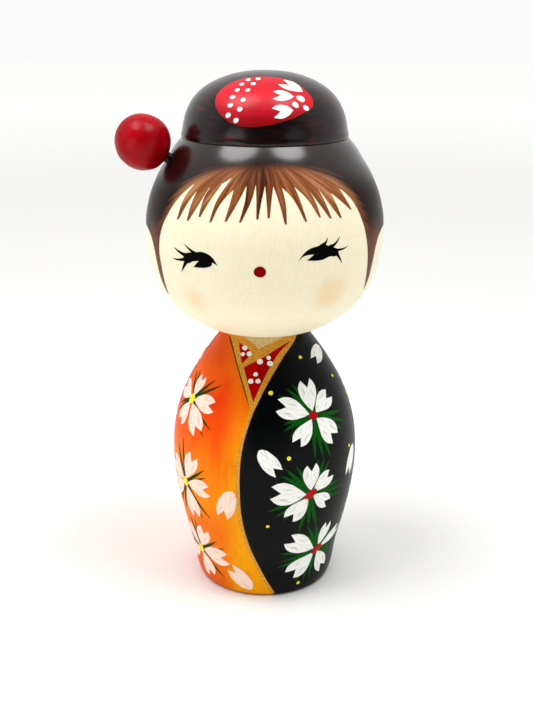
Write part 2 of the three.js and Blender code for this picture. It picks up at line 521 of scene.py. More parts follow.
def fixPlace(piece):
    alone(piece)
    bpy.ops.object.transform_apply(location=True, rotation=True, scale=True)


def cutAway(piece, cutter):
    finishWith(piece, "BOOLEAN", operation="DIFFERENCE", solver="EXACT", object=cutter)
    bpy.data.objects.remove(cutter)


def flatShape(name, *outlines):
    # a flat shape in millimetres; outlines after the first are holes
    piece = drawLine(name, outlines, filled=True)
    sheet = piece.data
    stroke = sheet.uv_layers.new(name="stroke") if not sheet.uv_layers else sheet.uv_layers[0]
    span = max(piece.dimensions)  # so that brush streaks suit the shape's own size
    for corner in sheet.loops:
        place = sheet.vertices[corner.vertex_index].co
        stroke.data[corner.index].uv = (place.x / span, place.y / span)
    return piece


def strokeOutline(start, middle, end, width, shape=(1, 0.8, 0.5, 0.2)):
    # the outline of one pull of the brush; shape is its width at the quarters
    start, middle, end = Vector(start), Vector(middle), Vector(end)
    bend = 2 * middle - (start + end) / 2
    left, right = [], []
    for step, share in enumerate(shape):
        t = step / len(shape)
        spot = start * (1 - t) ** 2 + bend * 2 * t * (1 - t) + end * t * t
        along = ((bend - start) * (1 - t) + (end - bend) * t).normalized()
        out = Vector((-along.y, along.x)) * width * share / 2
        left.append(tuple(spot + out))
        right.append(tuple(spot - out))
    return left + [(end.x, end.y, 1)] + right[::-1]


def copied(piece, name, turn=0.0, size=(1, 1), at=(0, 0)):
    # turn is in degrees, anticlockwise as the painter sees it
    alone(piece)
    bpy.ops.object.duplicate(linked=False)
    twin = bpy.context.object
    twin.name = name
    twin.scale = (size[0], size[1], 1)
    twin.rotation_euler = (0, 0, math.radians(turn))
    twin.location = (at[0], at[1], 0)
    fixPlace(twin)
    return twin


def gather(name, pieces):
    bpy.ops.object.select_all(action="DESELECT")
    for piece in pieces:
        piece.select_set(True)
    bpy.context.view_layer.objects.active = pieces[0]
    if len(pieces) > 1:
        bpy.ops.object.join()
    pieces[0].name = name
    return pieces[0]


def gridCut(sheet, step):
    # cuts a flat sheet into small squares, so that it can follow a round surface
    alone(sheet)
    spots = [vertex.co.copy() for vertex in sheet.data.vertices]
    bpy.ops.object.mode_set(mode="EDIT")
    for axis in (0, 1):
        low = min(spot[axis] for spot in spots)
        high = max(spot[axis] for spot in spots)
        across = (1, 0, 0) if axis == 0 else (0, 1, 0)
        for cut in range(1, int((high - low) / step) + 1):
            middle = [0, 0, 0]
            middle[axis] = low + cut * step
            bpy.ops.mesh.select_all(action="SELECT")
            bpy.ops.mesh.bisect(plane_co=middle, plane_no=across)
    bpy.ops.object.mode_set(mode="OBJECT")


def seatOn(surface, angle, height):
    # where a painter's brush meets a turned piece: angle goes round from the face, height is up
    turn = math.radians(angle)
    out = Vector((math.sin(turn), -math.cos(turn), 0))
    _, touch, normal, _ = surface.ray_cast(out * 0.1 + Vector((0, 0, height)), -out)
    right = Vector((math.cos(turn), math.sin(turn), 0))
    up = normal.cross(right).normalized()
    return Matrix((right, up, normal)).transposed().to_4x4(), touch, normal


def paintOn(name, pieces, surface, angle, height, finish, slot, body, above=0.1, step=0.7):
    # lays flat shapes, in millimetres, on a turned piece as a thin coat of paint
    sheet = gather(name, pieces)
    gridCut(sheet, step)
    slope, touch, normal = seatOn(surface, angle, height * mm)
    lift = 9 * mm  # starts well clear of the surface
    sheet.matrix_world = Matrix.Translation(touch + normal * lift) @ slope @ Matrix.Scale(mm, 4)
    bpy.context.view_layer.update()
    finishWith(
        sheet,
        "SHRINKWRAP",
        target=surface,
        wrap_method="PROJECT",
        use_project_z=True,
        use_negative_direction=True,
        use_positive_direction=False,
    )
    fixPlace(sheet)
    finishWith(sheet, "SOLIDIFY", thickness=2 * above * mm, offset=0)
    faceOut(sheet)
    smooth(sheet, 50)
    dress(sheet, finish, body)
    return sheet


def dress(piece, finish, body):
    piece.data.materials.clear()
    piece.data.materials.append(finish)
    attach(piece, body)


def inMetres(outline):
    return [(x * mm, z * mm, *sharp) for x, z, *sharp in outline]


def scaled(outline, radius, low, high):
    # an outline given as shares of the piece's radius and height
    return [(share[0] * radius, low + share[1] * (high - low), *share[2:]) for share in outline]


kimono = {
    "outline": [
        (0, 0, 1),
        (0.685, 0, 1),
        (0.72, 0.005),
        (0.746, 0.022),
        (0.81, 0.139),
        (0.9, 0.2665),
        (0.9725, 0.394),
        (1, 0.5157),
        (0.97, 0.6307),
        (0.87, 0.749),
        (0.69, 0.8676),
        (0.445, 0.988),
        (0.42, 1, 1),
        (0.205, 1, 1),
        (0.205, 0.759, 1),
        (0, 0.759, 1),
    ],
    "coatStart": (0.702, 0.0018),  # the black begins just above the foot's edge
    # edge of the black half in front and behind: sideways and up, in millimetres
    "frontEdge": [(1.9, 0.8), (-1.3, 7.6), (-3.8, 14.6), (-5.1, 21.2), (-5.4, 26), (-5.4, 31.5),
                  (-4.9, 36.3), (-3.8, 40.5), (-2.3, 44.6), (-0.3, 48.2), (1.6, 50.9), (3.2, 52.9),
                  (4.8, 54.7), (6.2, 56.6)],
    "backEdge": [(-2.3, 0.8), (-0.5, 7), (2.2, 16), (3.8, 26), (3.6, 35), (1.8, 44), (-0.6, 51),
                 (-2, 56.6)],
    "coat": 0.05,
    "trim": {"beyond": 0.03, "below": -0.004, "above": 0.064},  # clear of the coat, in metres
}


def makeBody():
    low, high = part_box("body_barrel")
    outline = scaled(kimono["outline"], high.x, low.z, high.z)
    body = turnPiece("body_wood", outline)
    dress(body, finishes["orange"], "torso")
    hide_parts("body_barrel")

    # the black half is a second coat, trimmed to its edge in front and behind
    coat = kimono["coat"] * mm
    shares = [kimono["coatStart"]] + kimono["outline"][2:13]
    outline = coatOutline(shares, high.x, low.z, high.z, coat)
    shell = turnPiece("kimono_black", outline, rings=8, steps=160)
    trim = kimono["trim"]
    for name, edge, near, far in (
        ("frontTrim", kimono["frontEdge"], -30, 0),
        ("backTrim", kimono["backEdge"], 0, 30),
    ):
        spots = inMetres(edge)
        spots.insert(0, (spots[0][0], trim["below"], 1))
        spots.append((spots[-1][0], trim["above"], 1))
        spots += [(-trim["beyond"], trim["above"], 1), (-trim["beyond"], trim["below"], 1)]
        cutAway(shell, prism(name, spots, near * mm, far * mm))
    smooth(shell, 35)
    borrowShading(shell, body)
    dress(shell, finishes["black"], "torso")
    return body


def coatOutline(shares, radius, low, high, coat):
    # a closed outline just over and just under the turned surface
    line = drawLine("coatGuide", scaled(shares, radius, low, high), fineness=8)
    spots = [Vector((v.co.x, v.co.z)) for v in line.data.vertices]
    bpy.data.objects.remove(line)
    outer, inner = [], []
    for index, spot in enumerate(spots):
        before, after = spots[max(index - 1, 0)], spots[min(index + 1, len(spots) - 1)]
        along = (after - before).normalized()
        out = Vector((along.y, -along.x)) * coat
        outer.append(tuple(spot + out))
        inner.append(tuple(spot - out))
    loop = outer + inner[::-1] + outer[:1]
    return [(x, z, 1) for x, z in loop]


def prism(name, spots, near, far):
    # an outline in the upright plane, pushed from near to far along Y
    flat = drawLine(name, [spots], filled=True, fineness=8)
    flat.rotation_euler = (math.radians(90), 0, 0)
    flat.location = (0, near, 0)
    fixPlace(flat)
    bpy.ops.object.mode_set(mode="EDIT")
    bpy.ops.mesh.select_all(action="SELECT")
    bpy.ops.mesh.extrude_region_move(TRANSFORM_OT_translate={"value": (0, far - near, 0)})
    bpy.ops.object.mode_set(mode="OBJECT")
    faceOut(flat)
    return flat


def borrowShading(coat, surface):
    # the coat takes the turned surface's own smooth shading
    finishWith(
        coat,
        "DATA_TRANSFER",
        object=surface,
        use_loop_data=True,
        data_types_loops={"CUSTOM_NORMAL"},
        loop_mapping="POLYINTERP_NEAREST",
    )


headShape = {
    "outline": [
        (0, 0.33, 1),
        (0.167, 0.33, 1),
        (0.167, 0, 1),
        (0.4, 0, 1),
        (0.506, 0.019),
        (0.649, 0.071),
        (0.808, 0.157),
        (0.918, 0.27),
        (0.98, 0.402),
        (1, 0.539),
        (0.98, 0.658),
        (0.906, 0.791),
        (0.804, 0.902),
        (0.765, 0.94),
        (0.725, 0.972),
        (0.684, 1, 1),
        (0.106, 1, 1),
        (0.106, 0.79, 1),
        (0, 0.79, 1),
    ],
    # the stretch of the outline that the hair covers
    "coatFrom": 5,
    "coatTo": 16,
}

faceColours = {
    "blush": [
        {"at": (-0.0136, -0.0176, 0.0675), "inner": 0.0005, "outer": 0.0046, "depth": 0.42},
        {"at": (0.0127, -0.019, 0.0693), "inner": 0.001, "outer": 0.0056, "depth": 0.55},
    ],
    "blushTint": (0.92, 0.6, 0.26, 1),
}

hair = {
    "parting": (-0.0005, 0.0946),
    "brownEdge": {"z": 0.076, "halfWidth": 0.0208, "rise": 0.0183, "roundness": 2.5},
    # the face opening, sideways and up, from one sideburn tip over the brow to the other
    "opening": [(-19.5, 66.6, 1), (-20.4, 72.3), (-20.8, 76.6), (-20.2, 80.6), (-18.8, 83.8),
                (-16.9, 86.8), (-14.9, 88.9), (-13.5, 90.1, 1), (-12.4, 89.1), (-9.8, 90.1),
                (-7.9, 90.7), (-6.2, 91.8, 1), (-5.5, 90.0), (-3, 90.6), (0, 90.6), (3, 90.4),
                (6, 90.3), (9.6, 89.9), (12.2, 88.6), (14, 89.5, 1), (15.4, 88.4), (17.3, 86.1),
                (18.8, 83), (19.8, 79.6), (20.3, 75.5), (20.3, 71.5), (20, 67, 1)],
    # the bare side behind the sideburn: back and up
    "earSide": [(-9.5, 66.8, 1), (-10.3, 70.4), (-10.8, 74), (-10.3, 77.3), (-8.2, 79.2),
                (-4.6, 79.8), (0.5, 79.4), (5.5, 76.6), (9, 71.5), (10, 66), (10.4, 56, 1)],
    "nape": 61.8,
    "coat": 0.05,
    # each stroke of the fringe: root, left side, tip, right side, root
    "fringeAt": 88,
    "fringe": [
        [(-13.4, 4.0), (-15.3, 1.7), (-16.6, -2.2), (-14.1, 1.3), (-12.7, 2.8)],
        [(-12.7, 2.8), (-14.0, 0.0), (-14.6, -2.8), (-12.2, 0.4), (-10.3, 3.3)],
        [(-10.1, 3.3), (-11.4, 1.2), (-12.3, -2.4), (-10.2, 0.6), (-8.2, 3.3)],
        [(-6.3, 4.4), (-9.1, 0.1), (-10.2, -3.6), (-8.2, -0.2), (-5.8, 2.3)],
        [(-5.8, 2.2), (-6.5, -0.4), (-7.3, -3.7), (-5.1, -0.4), (-3.3, 3.2)],
        [(-3.4, 3.2), (-3.7, 0.0), (-4.6, -4.0), (-2.5, 0.1), (-1.7, 3.2)],
        [(-1.7, 3.2), (-1.6, 0.0), (-1.4, -3.5), (-0.7, -0.4), (0.0, 2.9)],
        [(0.0, 2.9), (0.3, -0.4), (0.7, -3.3), (1.15, -0.4), (1.5, 2.8)],
        [(1.5, 2.8), (2.6, -0.3), (3.9, -4.3), (3.8, -0.4), (3.1, 2.6)],
        [(3.1, 2.6), (5.1, 0.6), (7.7, -3.6), (6.4, 0.6), (5.4, 2.9)],
        [(5.4, 2.9), (8.1, 0.4), (10.3, -2.5), (9.1, 0.9), (7.6, 3.1)],
        [(7.6, 3.1), (10.0, 0.2), (12.4, -2.5), (11.1, 0.8), (9.7, 3.2)],
        [(9.7, 3.2), (12.1, 0.3), (14.4, -2.1), (13.3, 0.7), (12.2, 2.7)],
        [(12.2, 2.6), (14.2, 1.3), (16.4, -0.1), (15.3, 1.8), (14.0, 3.6)],
    ],
    "tipWidth": 0.36,
    "tuck": 1,  # how far the roots go under the crown's edge
    "beyond": 0.034,  # how far the trimming shapes reach, in metres
}


def makeHead():
    low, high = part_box("head_ball")
    head = turnPiece("head_wood", scaled(headShape["outline"], high.x, low.z, high.z))
    head.data.materials.append(finishes["face"])
    coat = hair["coat"] * mm
    shares = headShape["outline"][headShape["coatFrom"]:headShape["coatTo"]]
    outline = coatOutline(shares, high.x, low.z, high.z, coat)
    shell = turnPiece("hair_crown", outline, rings=8, steps=160)

    # the face opening, and all that lies in front below it
    arch = inMetres(hair["opening"])
    beyond = hair["beyond"]
    chin = [(beyond, 0.05, 1), (-beyond, 0.05, 1)]
    opening = arch + [(beyond, arch[-1][1], 1)] + chin + [(-beyond, arch[0][1], 1)]
    cutAway(shell, prism("faceTrim", opening, -beyond, 0))
    # the bare sides, and the neck under the back hair
    side = inMetres(hair["earSide"])
    ear = side + [(side[0][0], side[-1][1], 1)]
    ears = prism("earTrim", ear, -beyond, beyond)
    ears.rotation_euler = (0, 0, math.radians(90))
    fixPlace(ears)
    cutAway(shell, ears)
    nape = hair["nape"] * mm
    neck = chin[::-1] + [(beyond, nape, 1), (-beyond, nape, 1)]
    cutAway(shell, prism("napeTrim", neck, -beyond, beyond))

    # the hairpin's hole goes through both
    for piece in (head, shell):
        cutAway(piece, pinHole())
        smooth(piece, 35)
    borrowShading(shell, head)
    dress(head, finishes["face"], "head")
    dress(shell, finishes["hair"], "head")
    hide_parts("head_ball")

    strokes = [flatShape("stroke", fringeOutline(stroke)) for stroke in hair["fringe"]]
    place = (head, 0, hair["fringeAt"])
    paintOn("hair_fringe", strokes, *place, finishes["hair"], "hair_lacquer", "head", above=0.06, step=0.6)
    return head


def fringeOutline(stroke):
    left, leftSide, tip, rightSide, right = stroke
    blunt = hair["tipWidth"] / 2
    tuck = hair["tuck"]
    return [
        (left[0], left[1] + tuck, 1),
        (*left, 1),
        leftSide,
        (tip[0] - blunt, tip[1], 1),
        (tip[0] + blunt, tip[1], 1),
        rightSide,
        (*right, 1),
        (right[0], right[1] + tuck, 1),
    ]


def pinHole():
    low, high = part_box("hairpin_stick")
    bpy.ops.object.select_all(action="DESELECT")
    bpy.ops.mesh.primitive_cylinder_add(
        vertices=48,
        radius=pin["holeRadius"] * mm,
        depth=pin["holeLength"] * mm,
        location=(low + high) / 2,
    )
    drill = bpy.context.object
    drill.name = "pinDrill"
    drill.rotation_euler = pinAxis().to_track_quat("Z", "Y").to_euler()
    fixPlace(drill)
    return drill


knot = {
    "outline": [
        (0, 0.531, 1),
        (0.1538, 0.531, 1),
        (0.1538, 0, 1),
        (0.99, 0, 1),
        (1, 0.012),
        (0.988, 0.12),
        (0.972, 0.235),
        (0.948, 0.35),
        (0.913, 0.46),
        (0.865, 0.566),
        (0.803, 0.661),
        (0.726, 0.747),
        (0.632, 0.822),
        (0.528, 0.884),
        (0.421, 0.933),
        (0.3, 0.97),
        (0.15, 0.994),
        (0, 1),
    ],
}


def makeTopknot():
    low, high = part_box("topknot")
    piece = turnPiece("topknot_wood", scaled(knot["outline"], high.x, low.z, high.z), rings=8)
    dress(piece, finishes["lacquer"], "head")
    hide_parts("topknot")
    return piece


bead = {"radius": 5.6, "holeDepth": 4.2, "lumpSize": 0.0045, "lumpHeight": 0.0004}
pin = {"radius": 1.0, "tip": 0.35, "holeRadius": 1.12, "holeLength": 15.6}


def pinAxis():
    joint = next(each for each in frame["joints"] if each["name"] == "hairpin_pull")
    return Vector(joint["axis"])


def makeHairpin():
    axis = pinAxis()
    low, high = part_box("hairpin_ball")
    middle = (low + high) / 2
    turned = axis.to_track_quat("Z", "Y").to_euler()

    radius = bead["radius"]
    hole = pin["holeRadius"]
    mouth = math.asin(hole / radius)
    outline = [(0, bead["holeDepth"] - radius, 1), (hole, bead["holeDepth"] - radius, 1)]
    outline.append((radius * math.sin(mouth), -radius * math.cos(mouth), 1))
    for step in range(1, 13):
        bearing = mouth + (math.pi - mouth) * step / 12
        outline.append((radius * math.sin(bearing), -radius * math.cos(bearing)))
    ball = turnPiece("hairpin_bead", inMetres(outline), rings=6, steps=96)
    ball.rotation_euler = turned
    ball.location = middle
    fixPlace(ball)
    # a hand-sanded bead is a little lumpy
    lumps = bpy.data.textures.new("sanding", "CLOUDS")
    lumps.noise_scale = bead["lumpSize"]
    lumpHeight = bead["lumpHeight"]
    finishWith(ball, "DISPLACE", texture=lumps, texture_coords="LOCAL", strength=lumpHeight, mid_level=0.6)
    dress(ball, finishes["ball"], "hairpin")
    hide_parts("hairpin_ball")

    low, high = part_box("hairpin_stick")
    long = (high.z - low.z) / axis.z - 2 * pin["radius"] * mm * math.hypot(axis.x, axis.y) / axis.z
    r, tip, end = pin["radius"], pin["tip"], long / mm / 2
    outline = [(0, -end, 1), (r - tip, -end), (r, tip - end), (r, 0)]
    outline += [(r, end - tip), (r - tip, end), (0, end, 1)]
    stick = turnPiece("hairpin_pin", inMetres(outline), rings=5, steps=48)
    stick.rotation_euler = turned
    stick.location = (low + high) / 2
    fixPlace(stick)
    dress(stick, finishes["lacquer"], "hairpin")
    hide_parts("hairpin_stick")


face = {
    "leftEye": {
        "angle": -29.9, "height": 76.6,
        "lid": [(3.5, -0.95, 1), (2.5, 0.55), (0.5, 1.4), (-1.4, 1.1), (-3.9, 0.4), (-4.1, -0.3),
                (-3.5, -1.2), (-1.7, -0.65), (-0.4, -0.4, 1), (-1.9, -1.8, 1), (-0.4, -1.78),
                (1.2, -1.55), (2.3, -1.0), (2.5, -0.4, 1)],
        "lashes": [((-1.2, 0.9), (-2.4, 1.5), (-3.9, 2.5), 0.7),
                   ((-3.3, 0.2), (-5.0, 0.65), (-6.7, 1.4), 0.8),
                   ((-3.5, -0.4), (-5.2, -0.85), (-7.4, -0.95), 0.75),
                   ((-3.4, -0.7), (-4.2, -1.9), (-5.2, -3.4), 0.9)],
    },
    "rightEye": {
        "angle": 24.8, "height": 78.0,
        "lid": [(-4.2, -1.3, 1), (-3.1, 0.2), (-1.9, 1.0), (-0.2, 1.4), (0.9, 1.8), (1.6, 1.35),
                (3.0, 0.9), (3.9, 0.2), (4.3, -0.6), (3.5, -1.0), (2.4, -0.9), (0.5, -1.4),
                (-2.5, -1.25, 1), (-1.0, -0.15, 1), (-2.4, -0.2), (-3.3, -0.45)],
        "lashes": [((0.8, 1.5), (1.45, 2.0), (1.8, 2.8), 0.6),
                   ((2.2, 0.9), (3.6, 1.5), (4.6, 2.8), 0.7),
                   ((3.0, 0.3), (5.0, 0.15), (6.7, 0.6), 0.6),
                   ((3.6, -0.1), (4.4, -1.2), (5.4, -2.7), 0.8)],
    },
    "mouth": {"angle": -1.9, "height": 74.8, "size": (1.15, 1.08)},
}


def makeFace(head):
    for name in ("leftEye", "rightEye"):
        eye = face[name]
        shapes = [flatShape("lid", eye["lid"])]
        shapes += [
            flatShape("lash", strokeOutline(start, middle, end, width, shape=(1, 0.85, 0.6, 0.35)))
            for start, middle, end, width in eye["lashes"]
        ]
        place = (head, eye["angle"], eye["height"])
        paintOn(name, shapes, *place, finishes["ink"], "hair_lacquer", "head", above=0.05, step=0.6)
    mouth = face["mouth"]
    dot = spot("mouthDot", *mouth["size"], wobble=0.05)
    place = (head, mouth["angle"], mouth["height"])
    paintOn("mouth", [dot], *place, finishes["lips"], "ball_paint", "head", above=0.07, step=0.5)


def spot(name, across, tall, turn=0, at=(0, 0), wobble=0.08, corners=9):
    # a dab of paint, a little uneven
    ring = []
    for step in range(corners):
        bearing = 2 * math.pi * step / corners
        reach = 1 + brush.uniform(-wobble, wobble)
        ring.append((across * reach * math.cos(bearing), tall * reach * math.sin(bearing)))
    dab = flatShape(name, ring)
    dab.rotation_euler = (0, 0, math.radians(turn))
    dab.location = (at[0], at[1], 0)
    fixPlace(dab)
    return dab


collar = {
    "angle": -8.7, "height": 51.0,
    "nape": [(0.49, 0.966), (0.445, 0.988), (0.43, 0.9955)],
    "napeFrom": 0.5,
    "napeCoat": 0.1,
    "napeTrim": (30, 50, 60),  # the part in front is cut away: sideways reach, bottom and top
    "under": 0.15,
    "darkEdge": [(-6.3, 8.1), (-3.6, 0.8), (-0.6, -7.2), 0.34],  # a stroke and its width
    "band": [(-6.6, 8.6), (-6.2, 8.0), (-3.5, 0.8), (-0.6, -6.9), (-0.3, -8.0, 1), (0.5, -8.0, 1),
             (2.4, -3.2), (5.1, 3.1), (7.4, 9.2), (7.3, 10.5, 1), (-7.0, 10.5, 1)],
    "redSmall": [(-4.0, 6.4, 1), (-0.7, 4.0, 1), (-2.9, 1.6, 1)],
    "redLarge": [(6.6, 7.8, 1), (4.25, 4.1), (1.85, -1.65), (0.2, -6.3, 1), (-0.9, -3.4),
                 (-2.4, 0.9, 1), (1.4, 3.2)],
    "neck": [(-2.7, 7.3, 1), (0.4, 4.9, 1), (4.9, 7.9, 1), (4.2, 10.1, 1), (-3.6, 10.1, 1)],
    "dots": [(-2.6, 5.1, 0.55), (-2.9, 3.7, 0.45), (-1.5, 3.8, 0.55), (0.8, 2.2, 0.6),
             (2.5, 3.2, 0.45), (2.9, 2.0, 0.6), (0.2, -0.5, 0.48), (-0.7, -2.0, 0.55),
             (0.8, -1.9, 0.5)],
}


def makeCollar(body):
    place = (body, collar["angle"], collar["height"])

    def lay(name, shapes, finish, slot, above):
        paintOn(name, shapes, *place, finishes[finish], slot, "torso", above=above)

    # the neck and the reds run a little under the gold
    under = collar["under"]
    lay("collar_neck", [flatShape("neck", grown(collar["neck"], under))], "neck", "face_wood", 0.08)
    reds = [flatShape("red", grown(collar[part], under)) for part in ("redSmall", "redLarge")]
    lay("collar_red", reds, "collarRed", "ball_paint", 0.08)
    band = flatShape("gold", collar["band"], collar["redSmall"], collar["redLarge"], collar["neck"])
    lay("collar_gold", [band], "gold", "gold_paint", 0.13)
    shadow = flatShape("edge", strokeOutline(*collar["darkEdge"], shape=(0.6, 1, 1, 0.8)))
    lay("collar_dark_edge", [shadow], "darkEdge", "gold_paint", 0.1)
    dots = [spot("dot", r, r * 0.95, at=(x, y)) for x, y, r in collar["dots"]]
    lay("collar_dots", dots, "white", "flower_paint", 0.16)

    # the same band goes on round the back of the neck
    low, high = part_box("body_barrel")
    outline = coatOutline(collar["nape"], high.x, low.z, high.z, collar["napeCoat"] * mm)
    ring = turnPiece("collar_nape", outline, rings=6, steps=128)
    reach, bottom, top = collar["napeTrim"]
    front = [(-reach, bottom, 1), (reach, bottom, 1), (reach, top, 1), (-reach, top, 1)]
    cutAway(ring, prism("napeFront", inMetres(front), -reach * mm, collar["napeFrom"] * mm))
    smooth(ring, 35)
    dress(ring, finishes["gold"], "torso")


def grown(outline, by):
    # the same outline, a little larger all round
    middle = sum((Vector(p[:2]) for p in outline), Vector((0, 0))) / len(outline)
    bigger = []
    for x, y, *sharp in outline:
        out = Vector((x, y)) - middle
        out *= 1 + by / out.length
        bigger.append((middle.x + out.x, middle.y + out.y, *sharp))
    return bigger


goldLines = {"width": 0.8, "thickness": 0.2, "frontTop": 45, "backTop": 58, "startsAt": 30}


def makeGoldLines(body):
    front = [(x, z) for x, z in kimono["frontEdge"] if z < goldLines["frontTop"]]
    back = [(x, z) for x, z in kimono["backEdge"] if z < goldLines["backTop"]]
    goldLine("gold_line_front", front, -1, body)
    goldLine("gold_line_back", back, 1, body)


def goldLine(name, spots, side, body):
    # drawn clear of the body and pushed on to it; side is -1 in front and 1 behind
    width = goldLines["width"]
    line = drawLine(name, inMetres(spots), fineness=10)
    bpy.ops.object.mode_set(mode="EDIT")
    bpy.ops.mesh.select_all(action="SELECT")
    bpy.ops.transform.translate(value=(-width / 2 * mm, side * goldLines["startsAt"] * mm, 0))
    for _ in range(2):
        bpy.ops.mesh.extrude_region_move(TRANSFORM_OT_translate={"value": (width / 2 * mm, 0, 0)})
    bpy.ops.object.mode_set(mode="OBJECT")
    finishWith(
        line,
        "SHRINKWRAP",
        target=body,
        wrap_method="PROJECT",
        use_project_y=True,
        use_negative_direction=side > 0,
        use_positive_direction=side < 0,
    )
    finishWith(line, "SOLIDIFY", thickness=goldLines["thickness"] * mm, offset=0)
    faceOut(line)
    smooth(line, 50)
    dress(line, finishes["gold"], "torso")


flowers = {
    "petal": [(0.0, 0.12, 1), (0.13, 0.32), (0.27, 0.62), (0.265, 0.84), (0.17, 1.0, 1),
              (0.02, 0.76, 1), (-0.14, 0.98, 1), (-0.255, 0.82), (-0.27, 0.6), (-0.14, 0.3)],
    "fallenPetal": [(-0.05, 0.0, 1), (0.12, 0.1), (0.24, 0.36), (0.27, 0.7), (0.18, 1.0, 1),
                    (0.03, 0.72, 1), (-0.14, 0.96, 1), (-0.24, 0.72), (-0.25, 0.36), (-0.17, 0.1)],
    # petals: direction in degrees, length, and for some a share of the width; leaves: direction, length
    "black": [
        {
            "angle": 34.2,
            "height": 42.2,
            "petals": [(88, 7.6), (33, 6.8), (-47, 7.8), (-132, 7.0), (155, 8.1)],
            "leaves": [(125, 8.6), (48, 7.4), (-15, 9.8), (-164, 8.2), (-83, 10)],
            "centre": (1.05, 0.95, 0),
        },
        {
            "angle": 28.9,
            "height": 25.8,
            "petals": [(90, 6.7), (33, 6.4), (-37, 6.2), (-127, 7.2), (172, 8.6)],
            "leaves": [(130, 9.2), (66, 8), (-6, 9.6), (-148, 9.2), (-87, 9.8)],
            "centre": (1.6, 0.85, 32),
        },
        {
            "angle": 41.6,
            "height": 10.5,
            "petals": [(72, 6.8, 0.8), (18, 7.8, 0.62), (-65, 7.6, 0.85), (-137, 8.2), (153, 9.0)],
            "leaves": [(118, 8.6), (-168, 9.2), (-108, 8.8), (-20, 8), (46, 7)],
            "centre": (1.6, 0.8, 35),
        },
        {
            "angle": 108,
            "height": 38,
            "petals": [(80, 7.4), (8, 7.2), (-65, 7.2), (-137, 7.4), (152, 7.4)],
            "leaves": [(116, 8.8), (44, 8.6), (-28, 9), (-101, 9), (-172, 9)],
            "centre": (1.1, 1.0, 0),
        },
        {
            "angle": 118,
            "height": 18,
            "petals": [(96, 6.8), (24, 7), (-49, 7), (-121, 7.2), (167, 7)],
            "leaves": [(132, 8.8), (60, 8.4), (-12, 8.8), (-85, 8.6), (-157, 9)],
            "centre": (1.4, 0.9, 20),
        },
        {
            "angle": 158,
            "height": 29,
            "petals": [(84, 7), (12, 7.2), (-61, 7), (-133, 7.2), (155, 7.2)],
            "leaves": [(120, 8.8), (48, 8.6), (-24, 8.6), (-97, 9), (-169, 8.6)],
            "centre": (1.1, 1.0, 0),
        },
    ],
    "orange": [
        {
            "angle": -61.3,
            "height": 43.4,
            "petals": [(84, 5.6), (8, 7.2), (-50, 7.8), (-118, 6.8), (165, 7.0)],
            "leaves": [(47, 8.8), (119, 6.4), (-33, 9.6), (-150, 7.4)],
            "centre": (0.95, 1.15, -20),
        },
        {
            "angle": -57.2,
            "height": 25.6,
            "petals": [(68, 7.8), (-1, 7.4), (-78, 8.4), (-150, 7.4), (150, 7.0)],
            "leaves": [(30, 8.6), (107, 9), (-55, 9.0), (-115, 8.6)],
            "centre": (0.9, 1.15, 0),
        },
        {
            "angle": -56.6,
            "height": 8.8,
            "petals": [(62, 7.4), (-4, 8.0), (-70, 6.8), (-150, 6.6), (128, 6.2)],
            "leaves": [(26, 8.4), (96, 8), (-50, 8.0), (172, 8)],
            "centre": (0.9, 1.1, 0),
        },
        {
            "angle": -122,
            "height": 36,
            "petals": [(78, 7.2), (6, 7.2), (-67, 7.4), (-139, 7.2), (150, 7.2)],
            "leaves": [(114, 9), (42, 8.6), (-31, 9), (-103, 8.8), (-175, 8.6)],
            "centre": (0.95, 1.1, 0),
        },
        {
            "angle": -128,
            "height": 15,
            "petals": [(92, 6.8), (20, 7), (-53, 6.8), (-125, 7), (163, 7)],
            "leaves": [(128, 8.6), (56, 8.4), (-16, 8.6), (-89, 8.4), (-161, 8.6)],
            "centre": (0.9, 1.1, 0),
        },
    ],
    # fallen petals: angle, height, direction of the notch, length
    "blackFallen": [(3.4, 33.6, -47, 6.6), (66.5, 52.4, -158, 6.2), (67, 29.3, -112, 6.8),
                    (84, 14, 150, 6.4), (140, 46, -60, 6)],
    "orangeFallen": [(-24.0, 23.4, -108, 7.6), (-19.5, 4.6, 138, 7.0), (-95, 27, -70, 6.8),
                     (-95, 50, -20, 5.4), (-160, 25, 160, 6.8)],
    # pollen dots on the black: angle, height, radius
    "pollen": [(39.1, 52.9, 0.45), (70.5, 47.5, 0.4), (4.8, 47.3, 0.55), (14.9, 34.5, 0.5),
               (65, 32.9, 0.4), (1.9, 19.0, 0.42), (72, 12.5, 0.45), (28.7, 2.6, 0.5), (88, 42, 0.5),
               (97, 27, 0.45), (134, 30, 0.5), (138, 12, 0.45), (150, 44, 0.45), (96, 6, 0.45),
               (172, 14, 0.5)],
    # how each side's flowers are painted
    "styles": {
        "black": {
            "petals": "white",
            "leaves": "leaf",
            "centre": "centreRed",
            "fan": (-13, 0, 12),
            "leafWidth": 12,
        },
        "orange": {
            "petals": "blossom",
            "leaves": "darkLeaf",
            "centre": "yellow",
            "fan": (-8, 6),
            "leafWidth": 8,
        },
    },
    "coats": {"leaves": 0.08, "petals": 0.13, "centre": 0.2},
    "dotShare": 0.85,
}


